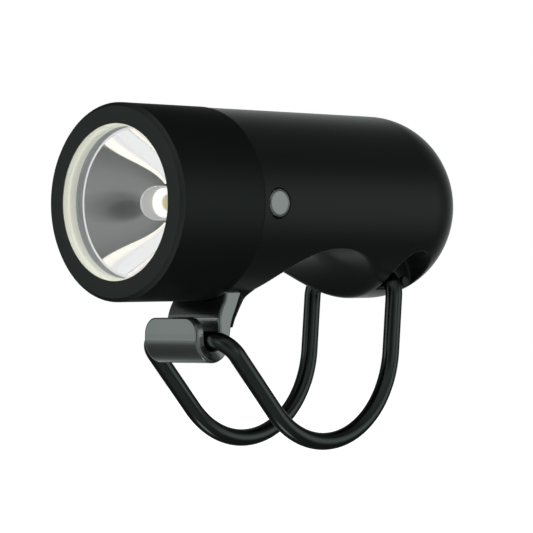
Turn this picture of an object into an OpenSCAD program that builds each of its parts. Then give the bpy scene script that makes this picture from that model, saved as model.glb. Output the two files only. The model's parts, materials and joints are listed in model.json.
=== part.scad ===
// Bike headlight with a metal hook and a rubber strap that hold it on a handlebar.
// The beam points along -Y and +Z is up.
// The origin lies on the handlebar's axis, in the light's plane of symmetry.
// Modules draw in the light's own frame, whose origin is the centre of the front face.

/* [Head] */
// Outside diameter of the head
head_d = 32; // [31:0.5:35]
// Length of the head from its front face to the seam
head_l = 18.2; // [17.6:0.2:21]
// Wall of the head round the optics
head_wall = 1.8; // [1.4:0.1:2.2]
// Chamfer round the front face
front_chamfer = 0.6; // [0.3:0.1:0.9]
// Width of the front rim round the opening
rim_w = 3.4; // [3:0.1:3.8]
// Thickness of the front lip at its edge
lip_edge = 0.2; // [0.15:0.05:0.4]
// Growth of the lip's thickness behind the ivory ring
lip_rise = 1; // [0.6:0.1:1.2]

/* [Optics] */
// Thickness of the clear window
window_t = 1.2; // [0.8:0.1:1.6]
// Depth of the window's outer face below the front face
window_in = 0.1; // [0.05:0.05:0.2]
// Width of the ledge that carries the window
ledge_w = 0.4; // [0.3:0.1:0.6]
// Depth of the ivory ring's back below the front face
ring_depth = 2.7; // [2.6:0.1:3.2]
// Length of the reflector's straight rim
rim_l = 1.4; // [0.8:0.1:1.6]
// Gap between the reflector's neck and the LED base
neck_gap = 0.7; // [0.5:0.1:1.2]
// Diameter of the hole in the reflector's neck
neck_d = 6.6; // [6.2:0.1:7.4]
// Wall of the reflector
reflector_t = 0.8; // [0.6:0.1:1]
// Diameter of the LED's clear dome
dome_d = 5.6; // [4.6:0.1:5.8]
// Height of the LED's clear dome
dome_h = 6.2; // [4.6:0.1:6.4]
// Side of the square LED base
led_side = 6; // [5.8:0.1:6.2]
// Thickness of the LED base
led_t = 0.7; // [0.5:0.1:0.9]
// Side of the phosphor square
phosphor_side = 3.6; // [3:0.1:3.8]

/* [Cooling] */
// Diameter of the LED board
led_board_d = 18; // [16.6:0.2:20]
// Thickness of the LED board
led_board_t = 1; // [0.8:0.1:1.4]
// Thickness of the heat sink's rim
sink_rim_t = 1.6; // [1.2:0.1:1.8]
// Depth of the heat sink's recess for the LED board
sink_recess = 2; // [1.8:0.1:2.4]
// Thickness of the heat sink under the LED board
sink_floor = 2.4; // [1.6:0.1:2.6]
// Height of the cooling fins
fin_h = 1.1; // [0.8:0.1:1.2]
// Thickness of one cooling fin
fin_t = 0.8; // [0.6:0.1:1]

/* [Rear casing] */
// Step from the head's outside in to the casing's
seam_step = 0.1; // [0.05:0.05:0.3]
// Wall of the rear casing
casing_wall = 1.8; // [1.6:0.1:2]
// Length of the casing's straight part behind the seam
casing_l = 40.9; // [40.6:0.1:44]
// Length of the rounded rear end
dome_l = 14.8; // [14.2:0.1:16]
// Wall of the spigot that goes into the head
spigot_wall = 1; // [0.8:0.1:1.1]
// Depth of the spigot in the head
spigot_l = 3.4; // [3.2:0.1:3.8]
// Thickness of the flat gasket before the spigot
gasket_t = 0.6; // [0.4:0.1:0.8]

/* [Handlebar seat] */
// Diameter of the concave seat
seat_d = 35.7; // [34.6:0.1:36]
// Height of the seat's top above the casing's lowest line
seat_depth = 8.25; // [7.8:0.05:8.5]
// Distance of the seat's front edge behind the seam
seat_front = 5.15; // [4.8:0.05:5.6]

/* [Hook] */
// Distance of the hook's channel before the seam
hook_ahead = 2.7; // [2.4:0.1:3.1]
// Gap between the head and the top of the hook's lip
lip_gap = 2.5; // [2.2:0.1:3]
// Diameter of the hook's channel
channel_d = 3.4; // [3.3:0.1:3.6]
// Thickness of the hook's lip
lip_t = 1.8; // [1.4:0.1:2.1]
// Thickness of the stem at the channel
stem_t = 2.4; // [2:0.1:2.6]
// Height of the lip above the channel's centre
lip_h = 3.8; // [2.8:0.1:4]
// Radius of the lip's upper corners
lip_corner_r = 2.8; // [1.6:0.1:3.2]
// Depth of the stem's flat top inside the casing
stem_set = 1.6; // [1.4:0.05:1.7]

/* [Strap] */
// Diameter of the strap's cord
cord_d = 2.9; // [2.6:0.1:3]
// Distance between the centres of the two strands
strand_gap = 19.4; // [19:0.2:20.4]
// Radius of the cord's side bends
bend_r = 3.4; // [3.2:0.1:3.6]
// Radius of the strap's round bottom
loop_r = 16.4; // [16.2:0.1:16.8]
// Height of the round bottom's centre above the handlebar's axis
loop_rise = 2.2; // [1.6:0.1:2.5]
// Distance of the strap's rear run behind the handlebar's axis
pivot_back = 17.6; // [17.4:0.1:17.9]
// Height of the strap's rear run above the casing's lowest line
pivot_rise = 3.9; // [3.7:0.1:4]
// Diameter of the pin behind the strap
strap_pin_d = 1.6; // [1.2:0.1:1.8]

/* [Strap scoops] */
// Width of one scoop along the light
scoop_w = 9; // [8.9:0.1:9.5]
// Distance of the scoop's centre behind the strap's rear run
scoop_back = 2.65; // [2.5:0.05:2.7]
// Depth of the scoop's round top centre below the strap's rear run
scoop_low = 0.45; // [0.3:0.05:0.6]
// Distance from the start of the strap's side bend to the scoop
rib_over = 0.5; // [0.3:0.1:0.8]

/* [Button] */
// Diameter of the button's cap
cap_d = 4.6; // [4.2:0.1:5]
// Depth of the button's centre below the light's axis
button_drop = 0.26; // [0:0.02:0.5]
// Travel of the button
button_travel = 0.4; // [0.3:0.05:0.5]
// Depth of the dish in the cap's face
dish_depth = 0.15; // [0.1:0.05:0.2]
// Width of the bevelled rim round the dish
cap_rim = 0.4; // [0.3:0.05:0.5]

/* [Charging port] */
// Width of the charging socket
usb_w = 8.94; // [8.9:0.02:9]
// Height of the charging socket
usb_h = 3.26; // [3.2:0.02:3.3]
// Length of the charging socket
usb_l = 7.35; // [6.8:0.05:7.4]
// Thickness of the charging socket's sheet metal
usb_t = 0.3; // [0.25:0.05:0.35]
// Depth of the pocket for the rubber cover
cover_depth = 0.9; // [0.8:0.05:1]
// Length of the rubber cover along the light
cover_l = 5.2; // [5:0.1:5.4]
// Length of the rubber cover's fixed tab
tab_l = 2.6; // [2.2:0.1:3]

/* [Battery and board] */
// Gap between the battery cell and the casing above it
cell_top_gap = 0.7; // [0.6:0.1:1.2]
// Gap between the battery's tray and the walls below it
tray_gap = 1.35; // [1.3:0.05:2]
// Distance from the casing's straight end to the cell's rear face
cell_past = 0.35; // [0:0.05:0.5]
// Wall of the tray under the cell
tray_t = 0.8; // [0.6:0.1:1]
// Thickness of the chassis plate and of the tray's end
plate_t = 1; // [0.8:0.1:1.2]
// Thickness of the foam pad behind the cell
pad_t = 1.5; // [1:0.1:1.6]
// Thickness of the main board
board_t = 0.8; // [0.6:0.1:1]
// Distance of the main board's front behind the seam
board_set = 4.8; // [4.7:0.05:4.9]
// Height of the side-push switch
switch_h = 2.6; // [2.4:0.1:2.8]

/* [Fasteners] */
// Diameter of the small screws
screw_d = 1.6; // [1.4:0.1:1.8]
// Diameter of the small screws' heads
screw_head_d = 2.6; // [2.4:0.1:2.8]
// Height of the small screws' heads
screw_head_h = 0.9; // [0.7:0.1:1]

/* [Hidden] */
$fn = 72;

// Gap round a piece that slides into another
fit = 0.05;
// Gap between pieces that move past each other
run = 0.3;
// Overrun of a cut past the solid
over = 1;

// Radii of the head and its bores
head_r = head_d / 2;
bore_r = head_r - head_wall;
opening_r = head_r - rim_w;
casing_r = head_r - seam_step;
inner_r = casing_r - casing_wall;
// The spigot's clear bore, which the board and the chassis pass through
spigot_in_r = inner_r - fit * 4;
spigot_out_r = spigot_in_r + spigot_wall;
socket_r = spigot_out_r + fit;
seam_bevel = 0.12;

// Stations along the light, from the front face
step_y = head_l - spigot_l - gasket_t;
sink_y = step_y - sink_rim_t;
led_board_y = sink_y + sink_recess - led_board_t;
sink_back_y = sink_y + sink_recess + sink_floor;
led_y = led_board_y - led_t;
bowl_y = ring_depth + rim_l;
neck_y = led_y - neck_gap;
bowl_depth = neck_y - bowl_y;
board_y = head_l + board_set;
plate_y = board_y + board_t;
cell_y = plate_y + plate_t;
casing_end_y = head_l + casing_l;
wall_back_y = casing_end_y + dome_l;

// The ivory ring and the reflector's rim
ring_r = bore_r - fit;
ledge_r = opening_r - ledge_w;
lens_seal_r = 0.45;
// Bowl mouth and neck radii
mouth_r = ledge_r - ledge_w;
neck_r = neck_d / 2;
bowl_steps = 14;

// Handlebar place
seat_r = seat_d / 2;
bar_drop = casing_r - seat_depth + seat_r;
bar_back = head_l + seat_front + sqrt(seat_r * seat_r - pow(bar_drop - casing_r, 2));
// Height of the wall above the seat at a distance from the front face
function seat_wall_z(y) = sqrt(pow(seat_r + casing_wall + fit * 2, 2) - pow(bar_back - y, 2)) - bar_drop;

// Strap run and scoops at the rear of the seat
pivot_y = bar_back + pivot_back;
pivot_drop = casing_r - pivot_rise;
scoop_r = scoop_w / 2;
scoop_y = pivot_y + scoop_back;
scoop_drop = pivot_drop + scoop_low;

// Battery place and its tray, in the room above the seat and the scoops
tab_t = 0.15;
tab_w = 3;
room_z = casing_wall + max(seat_r - bar_drop, scoop_r - scoop_drop);
cell_r = (inner_r - cell_top_gap - room_z - tray_gap - tray_t) / 2 - fit;
cell_l = casing_end_y + cell_past - cell_y - tab_t;
cell_z = inner_r - cell_top_gap - cell_r;
tray_in_r = cell_r + fit * 2;
tray_out_r = tray_in_r + tray_t;
board_r = spigot_in_r - fit * 3;
tab_slot_z = cell_z + cell_r - fit;

// Screw places
led_screw_x = led_board_d / 2 - 2.8;
board_boss_r = 1.7;
board_boss_l = 4.2;
board_screw_r = inner_r + fit * 4 - board_boss_r;
board_screw_turn = 36;
board_screw_x = board_screw_r * cos(board_screw_turn);
board_screw_z = board_screw_r * sin(board_screw_turn);
stem_top_drop = casing_r - stem_set;
hook_screw_l = 3.6;
hook_pad_t = 1.5;
board_flat_z = max(hook_pad_t + screw_head_h + fit * 2 - stem_top_drop, seat_wall_z(cell_y));

// Charging port places, on the -X side
usb_y = board_y - usb_h / 2;
pocket_x = casing_r - cover_depth;
usb_mouth_x = pocket_x - run;
cover_front_y = usb_y - cover_l / 2 + fit;
cover_back_y = cover_front_y + cover_l;

// Button places, on the +X side
cap_r = cap_d / 2;
button_y = board_y - switch_h / 2;
cap_proud = 0.1;
cap_face_x = casing_r + cap_proud;
flange_w = 0.5;
flange_t = 0.6;
flange_r = cap_r + flange_w;
flange_out_x = inner_r - flange_w;
flange_in_x = flange_out_x - flange_t;
plunger_r = 0.8;
plunger_l = 0.3;
plunger_x = flange_in_x - plunger_l;
button_seal_r = 0.35;
button_seal_x = inner_r + casing_wall / 2;
stem_r = 0.7;
stem_l = 0.75;
switch_gap = 0.45;
switch_x = plunger_x - fit - switch_gap;
switch_l = 3.2;
switch_w = 3.6;

// Strap widths and the hook's, which carries the strap's straight cross run
cord_r = cord_d / 2;
strand_x = strand_gap / 2;
bend_x = strand_x - bend_r;
rib_x = bend_x + rib_over;
hook_w = bend_x * 2;
hook_screw_x = hook_w * 0.27;

// Hook outline
channel_r = channel_d / 2;
hook_y = head_l - hook_ahead;
hook_drop = head_r + lip_gap + lip_h;
hook_outer_r = channel_r + (lip_t + stem_t) / 2;
hook_outer_y = hook_y + (stem_t - lip_t) / 2;
lip_y = hook_y - channel_r - lip_t;
lip_top_z = lip_h - hook_drop;
stem_front_y = hook_y + channel_r;
stem_back_y = stem_front_y + stem_t;
stem_h = hook_drop - stem_top_drop;
front_lean = 2.2;
back_lean = 3;
hook_screw_y = stem_back_y + back_lean / 5;
// Height and lean of the stem's faces, as shares of its height and of its whole lean
front_shares = [[0, 0], [0.2, 0], [0.42, -0.05], [0.64, 0.2], [0.84, 0.6], [1, 0.7]];
back_shares = [[1, 1], [0.84, 0.79], [0.66, 0.57], [0.36, 0.2], [0, 0]];
// The casing's web behind the stem, thickest where it leaves the casing
web_t = 1.6;
web_shares = [[1, 1], [0.8, 0.62], [0.6, 0.42], [0.4, 0.28], [0.2, 0.14]];

// Strap route, and how its straight runs reach into its bends
weld_l = 0.2;
weld_step = 0.02;
loop_drop = bar_drop - loop_rise;
front_reach = [bar_back - hook_y, hook_drop - loop_drop];
rear_reach = [bar_back - pivot_y, pivot_drop - loop_drop];
front_turn = atan2(front_reach[1], front_reach[0]) - asin(loop_r / norm(front_reach));
rear_turn = atan2(rear_reach[1], rear_reach[0]) + asin(loop_r / norm(rear_reach));
front_l = sqrt(pow(norm(front_reach), 2) - loop_r * loop_r);
rear_l = sqrt(pow(norm(rear_reach), 2) - loop_r * loop_r);

// Pin in the rib between the scoops
strap_pin_y = scoop_y + scoop_w * 0.3;
strap_pin_drop = scoop_drop + strap_pin_d / 3;
strap_pin_out = 0.5;

// Places its children, drawn in the light's frame, in the part's frame
module placed() {
    translate([0, -bar_back, bar_drop]) children();
}

// Turns points of radius and distance from the front face round the light's axis
module turned(points) {
    rotate([-90, 0, 0]) rotate_extrude() polygon(points);
}

// Round rod along the light
module rod_y(r, y0, y1, x = 0, z = 0) {
    translate([x, y0, z]) rotate([-90, 0, 0]) cylinder(r = r, h = y1 - y0);
}

// Round rod across the light
module rod_x(r, x0, x1, y, z) {
    translate([x0, y, z]) rotate([0, 90, 0]) cylinder(r = r, h = x1 - x0);
}

// Upright round rod
module rod_z(r, z0, z1, x, y) {
    translate([x, y, z0]) cylinder(r = r, h = z1 - z0);
}

// Box between two corners
module block(low, high) {
    translate(low) cube(high - low);
}

// Extrudes an outline of depth and height symmetrically across the light
module across(w) {
    rotate([90, 0, 90]) linear_extrude(w, center = true) children();
}

// Flat bar with round ends along Z, across the light from x0 to x1
module oval_x(r, half_h, x0, x1, y) {
    for (s = [-1, 1]) rod_x(r, x0, x1, y, s * (half_h - r));
    block([x0, y - r, r - half_h], [x1, y + r, half_h - r]);
}

// Quarter ellipse from the casing's wall to the light's axis
function dome_points(r, l) = [for (i = [1:18]) [r * cos(i * 5), casing_end_y + l * sin(i * 5)]];

module head_shell() {
    color("#191b1b") placed() turned([
        [opening_r, 0], [head_r - front_chamfer, 0], [head_r, front_chamfer],
        [head_r, head_l - seam_bevel], [head_r - seam_bevel, head_l], [socket_r, head_l],
        [socket_r, step_y], [bore_r, step_y], [bore_r, lip_edge + lip_rise],
        [opening_r, lip_edge]]);
}

module front_lens() {
    r = opening_r - fit;
    back = window_in + window_t;
    color("#dfe8ea", 0.35) placed() turned([
        [0, window_in], [r - window_in, window_in], [r, window_in * 2], [r, back], [0, back]]);
}

module light_ring() {
    ledge_y = window_in + window_t;
    seal_w = lens_seal_r * 2 + fit;
    color("#eceadb") placed() turned([
        [opening_r, lip_edge + fit], [ring_r, lip_edge + lip_rise + fit],
        [ring_r, ring_depth - seal_w], [ring_r - seal_w, ring_depth - seal_w],
        [ring_r - seal_w, ring_depth], [ledge_r, ring_depth], [ledge_r, ledge_y],
        [opening_r, ledge_y]]);
}

module lens_seal() {
    color("#3a3a3a") placed() translate([0, ring_depth - lens_seal_r, 0]) rotate([-90, 0, 0])
        rotate_extrude() translate([ring_r - lens_seal_r, 0]) circle(r = lens_seal_r, $fn = 24);
}

// Radius and distance of the bowl's surface, from the neck to the mouth
function bowl_r(i) = neck_r + (mouth_r - neck_r) * i / bowl_steps;
function bowl_dist(r) = neck_y
    - bowl_depth * (r * r - neck_r * neck_r) / (mouth_r * mouth_r - neck_r * neck_r);

module reflector() {
    skirt_r = ring_r - reflector_t;
    back = reflector_t / 2;
    color("#d5d8da") placed() turned(concat(
        [for (i = [0:bowl_steps]) [bowl_r(i), bowl_dist(bowl_r(i))]],
        [[ledge_r, bowl_y], [ledge_r, ring_depth], [ring_r, ring_depth], [ring_r, sink_y],
            [skirt_r, sink_y], [skirt_r, bowl_y + back]],
        [for (i = [bowl_steps:-1:0]) [bowl_r(i) + reflector_t, bowl_dist(bowl_r(i)) + back]]));
}

// Both screws of the LED board, grown by a clearance where they are cut
module led_screw_pair(grow, tip) {
    for (s = [-1, 1]) rod_y(screw_d / 2 + grow, led_board_y, tip, s * led_screw_x);
}

// Both leads of the LED board, grown by a clearance where they are cut
wire_r = 0.4;
wire_x = 2;
wire_z = led_board_d / 2 - 2.1;
module wire_pair(grow, y0, y1) {
    for (s = [-1, 1]) rod_y(wire_r + grow, y0, y1, s * wire_x, wire_z);
}

module led_board() {
    color("#e8e8e4") placed() difference() {
        rod_y(led_board_d / 2, led_board_y, sink_y + sink_recess);
        led_screw_pair(fit, sink_back_y);
    }
}

module led_package() {
    side = led_side / 2;
    hole = phosphor_side / 2;
    color("#f2f1ec") placed() difference() {
        block([-side, led_y, -side], [side, led_board_y, side]);
        block([-hole, led_y - over, -hole], [hole, led_y + led_t / 2, hole]);
    }
}

module led_phosphor() {
    side = phosphor_side / 2;
    color("#e8d24a") placed() block([-side, led_y, -side], [side, led_y + led_t / 2, side]);
}

module led_dome() {
    dome_r = dome_d / 2;
    centre = led_y - dome_h + dome_r;
    color("#eef2f2", 0.5) placed() union() {
        rod_y(dome_r, centre, led_y);
        difference() {
            translate([0, centre, 0]) sphere(r = dome_r);
            rod_y(dome_r + over, centre, led_y + over);
        }
    }
}

led_screw_tip = sink_back_y - screw_d / 2;
module led_screws() {
    color("#b9bcbe") placed() union() {
        led_screw_pair(0, led_screw_tip);
        for (s = [-1, 1])
            rod_y(screw_head_d / 2, led_board_y - screw_head_h, led_board_y, s * led_screw_x);
    }
}

module heat_sink() {
    hub_r = spigot_in_r - fit * 2;
    pitch = (led_board_d - fin_t) / 4;
    color("#a9acae") placed() difference() {
        union() {
            rod_y(ring_r, sink_y, step_y);
            rod_y(hub_r, step_y, sink_back_y);
            intersection() {
                rod_y(hub_r, sink_back_y, sink_back_y + fin_h);
                for (i = [-2:2])
                    block([i * pitch - fin_t / 2, sink_back_y, -head_r],
                        [i * pitch + fin_t / 2, sink_back_y + fin_h, head_r]);
            }
        }
        rod_y(led_board_d / 2 + fit, sink_y - over, sink_y + sink_recess);
        led_screw_pair(fit, led_screw_tip + fit);
        wire_pair(wire_r / 2, sink_y, sink_back_y + fin_h + over);
    }
}

module led_wires() {
    color("#b03a2e") placed() wire_pair(0, sink_y + sink_recess, board_y);
}

module head_gasket() {
    color("#2f2f2f") placed() turned([
        [spigot_in_r, step_y], [spigot_out_r, step_y], [spigot_out_r, step_y + gasket_t],
        [spigot_in_r, step_y + gasket_t]]);
}

// The space inside the rear casing, before its walls and bosses are taken back out of it
module casing_space() {
    front = step_y + gasket_t - over;
    turned(concat(
        [[0, front], [spigot_in_r, front], [spigot_in_r, head_l], [inner_r, head_l],
            [inner_r, casing_end_y]],
        dome_points(inner_r, dome_l - casing_wall)));
}

module casing_outside() {
    front = step_y + gasket_t;
    turned(concat(
        [[0, front], [spigot_out_r, front], [spigot_out_r, head_l], [casing_r - seam_bevel, head_l],
            [casing_r, head_l + seam_bevel], [casing_r, casing_end_y]],
        dome_points(casing_r, dome_l)));
}

// Stem of the hook with its foot in the round bottom, in depth and height
module stem_outline() {
    polygon(concat(
        [[stem_back_y - run, -hook_drop - run * 2], [stem_front_y, -hook_drop - run * 2]],
        [for (p = front_shares) [stem_front_y + p[1] * front_lean, p[0] * stem_h - hook_drop]],
        [for (p = back_shares) [stem_back_y + p[1] * back_lean, p[0] * stem_h - hook_drop]]));
}

// Web of the casing behind the hook's stem
module web_outline() {
    polygon(concat(
        [for (p = back_shares) if (p[0] > 0)
            [stem_back_y + p[1] * back_lean, p[0] * stem_h - hook_drop]],
        [for (i = [len(web_shares) - 1:-1:0])
            [stem_back_y + web_shares[i][1] * web_t
                + lookup(web_shares[i][0], [for (p = back_shares) [p[0], p[1] * back_lean]]),
                web_shares[i][0] * stem_h - hook_drop]]));
}

// One scoop, open below
module scoop(x0, x1) {
    rod_x(scoop_r, x0, x1, scoop_y, -scoop_drop);
    block([x0, scoop_y - scoop_r, -casing_r - over], [x1, scoop_y + scoop_r, -scoop_drop]);
}

// Rounded outline of the port's cover and its fixed tab, grown by a clearance
module cover_outline(x0, x1, grow) {
    r = cover_corner_r + grow;
    y0 = cover_front_y - grow;
    y1 = tab_y + tab_l + grow;
    half_h = cover_h / 2 + grow;
    for (y = [y0 + r, y1 - r], z = [r - half_h, half_h - r]) rod_x(r, x0, x1, y, z);
    block([x0, y0, r - half_h], [x1, y1, half_h - r]);
    block([x0, y0 + r, -half_h], [x1, y1 - r, half_h]);
}

hook_boss_y = stem_back_y + back_lean + casing_wall / 2;
cover_h = 9.8;
cover_corner_r = 1.6;
cover_peg_r = 0.9;
tab_y = cover_back_y + run;
peg_y = tab_y + tab_l / 2;

module rear_casing() {
    color("#202322") placed() difference() {
        union() {
            difference() {
                casing_outside();
                difference() {
                    casing_space();
                    rod_x(seat_r + casing_wall, -casing_r, casing_r, bar_back, -bar_drop);
                    block([-casing_r, scoop_y - scoop_r - casing_wall, -casing_r],
                        [casing_r, wall_back_y, scoop_r - scoop_drop + casing_wall]);
                    block([-hook_w / 2 - casing_wall, head_l, -casing_r],
                        [hook_w / 2 + casing_wall, hook_boss_y, hook_pad_t - stem_top_drop]);
                    for (s = [-1, 1])
                        rod_y(board_boss_r, cell_y, cell_y + board_boss_l, s * board_screw_x,
                            board_screw_z);
                }
            }
            across(hook_w) web_outline();
        }
        rod_x(seat_r, -casing_r - over, casing_r + over, bar_back, -bar_drop);
        across(hook_w + fit * 2) stem_outline();
        for (s = [-1, 1]) {
            rod_z(screw_d / 2 + fit, -stem_top_drop - over, hook_pad_t - stem_top_drop + over,
                s * hook_screw_x, hook_screw_y);
            rod_y(screw_d / 2 + fit, cell_y - over, cell_y + board_boss_l - fit,
                s * board_screw_x, board_screw_z);
        }
        scoop(rib_x, casing_r + over);
        scoop(-casing_r - over, -rib_x);
        rod_x(cord_r + run, -casing_r, casing_r, pivot_y, -pivot_drop);
        rod_x(strap_pin_d / 2 + fit, -casing_r, casing_r, strap_pin_y, -strap_pin_drop);
        // Button hole with the groove of its seal
        rod_x(cap_r + fit, inner_r - over, casing_r + over, button_y, -button_drop);
        rod_x(cap_r + button_seal_r * 2 + fit, button_seal_x - button_seal_r - fit,
            button_seal_x + button_seal_r + fit, button_y, -button_drop);
        // Charging port with the pocket of its cover and the hole for the cover's peg
        oval_x(usb_h / 2 + fit, usb_w / 2 + fit, -casing_r, over - inner_r, usb_y);
        cover_outline(-casing_r - over, -pocket_x, fit);
        rod_x(cover_peg_r + fit, -casing_r, over - inner_r, peg_y, 0);
    }
}

// Lip of the hook with its foot in the round bottom, in depth and height
module lip_outline() {
    foot_z = -hook_drop - run * 2;
    polygon([[lip_y, -hook_drop], [lip_y + run, foot_z], [lip_y + lip_t, foot_z],
        [lip_y + lip_t, lip_top_z], [lip_y, lip_top_z]]);
}

module hook() {
    side = hook_w / 2;
    corner_x = side - lip_corner_r;
    corner_z = lip_top_z - lip_corner_r;
    color("#6c6f70") placed() difference() {
        union() {
            difference() {
                rod_x(hook_outer_r, -side, side, hook_outer_y, -hook_drop);
                block([-side - over, lip_y - over, -hook_drop],
                    [side + over, stem_back_y + over, hook_outer_r + over - hook_drop]);
            }
            across(hook_w) lip_outline();
            across(hook_w) stem_outline();
        }
        rod_x(channel_r, -side - over, side + over, hook_y, -hook_drop);
        for (s = [-1, 1]) {
            difference() {
                translate([s > 0 ? corner_x : -side - over, lip_y - over, corner_z])
                    cube([lip_corner_r + over, lip_t + channel_r + over, lip_corner_r + over]);
                rod_y(lip_corner_r, lip_y - over * 2, hook_y + over, s * corner_x, corner_z);
            }
            rod_z(screw_d / 2 + fit, hook_pad_t - stem_top_drop - hook_screw_l - fit,
                over - stem_top_drop, s * hook_screw_x, hook_screw_y);
        }
    }
}

module hook_screws() {
    seat_z = hook_pad_t - stem_top_drop;
    color("#b9bcbe") placed() for (s = [-1, 1]) {
        rod_z(screw_d / 2, seat_z - hook_screw_l, seat_z, s * hook_screw_x, hook_screw_y);
        rod_z(screw_head_d / 2, seat_z, seat_z + screw_head_h, s * hook_screw_x, hook_screw_y);
    }
}

// One end of the strap: the cross run, both side bends and both straight strands.
// It starts at the origin and leaves along its own +Y. The bends are a hair thicker than
// the straight runs, which reach a little way into them.
module strap_end(l) {
    translate([-bend_x - weld_l, 0, 0]) rotate([0, 90, 0])
        cylinder(r = cord_r, h = (bend_x + weld_l) * 2);
    for (side = [-1, 1]) {
        translate([side * bend_x, bend_r, 0]) rotate([0, 0, side > 0 ? -90 : 180])
            rotate_extrude(angle = 90) translate([bend_r, 0]) circle(r = cord_r + weld_step);
        translate([side * strand_x, bend_r - weld_l, 0]) rotate([-90, 0, 0])
            cylinder(r = cord_r, h = l - bend_r + weld_l * 2);
    }
}

module strap() {
    // Angles on the round bottom, from straight down towards +Y
    front_angle = atan2(hook_y + front_l * cos(front_turn) - bar_back,
        hook_drop - front_l * sin(front_turn) - loop_drop);
    rear_angle = atan2(pivot_y + rear_l * cos(rear_turn) - bar_back,
        pivot_drop - rear_l * sin(rear_turn) - loop_drop);
    color("#161817") placed() union() {
        translate([0, hook_y, -hook_drop]) rotate([front_turn, 0, 0]) strap_end(front_l);
        translate([0, pivot_y, -pivot_drop]) rotate([rear_turn, 0, 0]) strap_end(rear_l);
        for (side = [-1, 1]) translate([side * strand_x, bar_back, -loop_drop])
            rotate([0, 90, 0]) rotate([0, 0, front_angle])
                rotate_extrude(angle = rear_angle - front_angle)
                    translate([loop_r, 0]) circle(r = cord_r + weld_step);
    }
}

module strap_pin() {
    x = rib_x + strap_pin_out;
    color("#b9bcbe") placed() rod_x(strap_pin_d / 2, -x, x, strap_pin_y, -strap_pin_drop);
}

module battery_cell() {
    front = cell_y + tab_t;
    bevel = cell_r / 10;
    color("#3f6fb5") placed() translate([0, 0, cell_z]) turned([
        [0, front], [cell_r - bevel, front], [cell_r, front + bevel],
        [cell_r, front + cell_l - bevel], [cell_r - bevel, front + cell_l], [0, front + cell_l]]);
}

module battery_tabs() {
    top = cell_z + cell_r;
    rear = cell_y + tab_t + cell_l;
    color("#c9c9c4") placed() union() {
        block([-tab_w / 2, cell_y, cell_z - tab_w / 2], [tab_w / 2, cell_y + tab_t, cell_z + tab_w / 2]);
        rod_y(tab_w / 6, plate_y, cell_y, 0, cell_z);
        block([-tab_w / 2, plate_y, top], [tab_w / 2, rear + tab_t, top + tab_t]);
        block([-tab_w / 2, rear, cell_z - tab_w / 2], [tab_w / 2, rear + tab_t, top + tab_t]);
    }
}

pad_y = cell_y + cell_l + tab_t * 2;
module battery_pad() {
    color("#4a4a4a") placed() rod_y(cell_r - plate_t, pad_y, pad_y + pad_t, 0, cell_z);
}

// Round plate like the main board, with a flat at the bottom and a notch for the button
module cut_disc(r, y0, y1) {
    difference() {
        rod_y(r, y0, y1);
        block([-r, y0 - over, -r - over], [r, y1 + over, board_flat_z]);
        rod_x(flange_r + run, flange_in_x - button_travel - run, casing_r, button_y, -button_drop);
    }
}

// Both screws of the main board, grown by a clearance where they are cut
module board_screw_pair(grow, y0, y1) {
    for (s = [-1, 1]) rod_y(screw_d / 2 + grow, y0, y1, s * board_screw_x, board_screw_z);
}

module chassis() {
    end_y = pad_y + pad_t;
    color("#55585a") placed() difference() {
        union() {
            cut_disc(board_r, plate_y, cell_y);
            difference() {
                rod_y(tray_out_r, cell_y, end_y + plate_t, 0, cell_z);
                rod_y(tray_in_r, cell_y, end_y, 0, cell_z);
                block([-casing_r, cell_y, cell_z], [casing_r, end_y + plate_t + over, casing_r]);
            }
        }
        board_screw_pair(fit, plate_y - over, cell_y + over);
        rod_y(tab_w / 6 + fit, plate_y - over, cell_y + over, 0, cell_z);
        block([-tab_w / 2 - fit, plate_y - over, tab_slot_z], [tab_w / 2 + fit, cell_y + over, casing_r]);
    }
}

module main_board() {
    color("#1f5f3a") placed() difference() {
        cut_disc(board_r, board_y, plate_y);
        board_screw_pair(fit, board_y - over, plate_y + over);
    }
}

// Low corner in x and z, width, height and thickness of the parts on the board
chip = [1.2, -3.2, 3, 3, 1];
coil = [-2.2, board_flat_z + fit * 8, 4.4, 4.4, 2.2];
capacitor = [-1.6, 1.6, 3.2, 2, 1.4];
module board_parts() {
    color("#2a2b2d") placed() for (p = [chip, coil, capacitor])
        block([p[0], board_y - p[4], p[1]], [p[0] + p[2], board_y, p[1] + p[3]]);
}

module board_screws() {
    color("#b9bcbe") placed() union() {
        board_screw_pair(0, board_y, cell_y + board_boss_l - fit * 2);
        for (s = [-1, 1])
            rod_y(screw_head_d / 2, board_y - screw_head_h, board_y, s * board_screw_x, board_screw_z);
    }
}

module usb_shell() {
    color("#b9bcbe") placed() difference() {
        oval_x(usb_h / 2, usb_w / 2, -usb_mouth_x, usb_l - usb_mouth_x, usb_y);
        oval_x(usb_h / 2 - usb_t, usb_w / 2 - usb_t, -usb_mouth_x - over,
            usb_l - usb_mouth_x - usb_t * 3, usb_y);
    }
}

tongue_in = 1.6;
tongue_t = 0.7;
module usb_tongue() {
    half_h = usb_w / 2 - usb_h / 3;
    color("#1c1c1e") placed() block(
        [tongue_in - usb_mouth_x, usb_y - tongue_t / 2, -half_h],
        [usb_l - usb_mouth_x - usb_t * 3, usb_y + tongue_t / 2, half_h]);
}

// A piece of the casing's outer skin over the pocket, from y0 to y1
module skin(y0, y1) {
    intersection() {
        rod_y(casing_r, y0, y1, $fn = 360);
        cover_outline(-casing_r - over, -pocket_x, 0);
    }
}

module port_cover() {
    plug_r = usb_h / 2 - usb_t * 2 - fit * 5;
    color("#232625") placed() union() {
        skin(cover_front_y, cover_back_y);
        oval_x(plug_r, usb_w / 2 - usb_t * 2, -pocket_x - fit, usb_h / 4 - usb_mouth_x, usb_y);
    }
}

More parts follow.
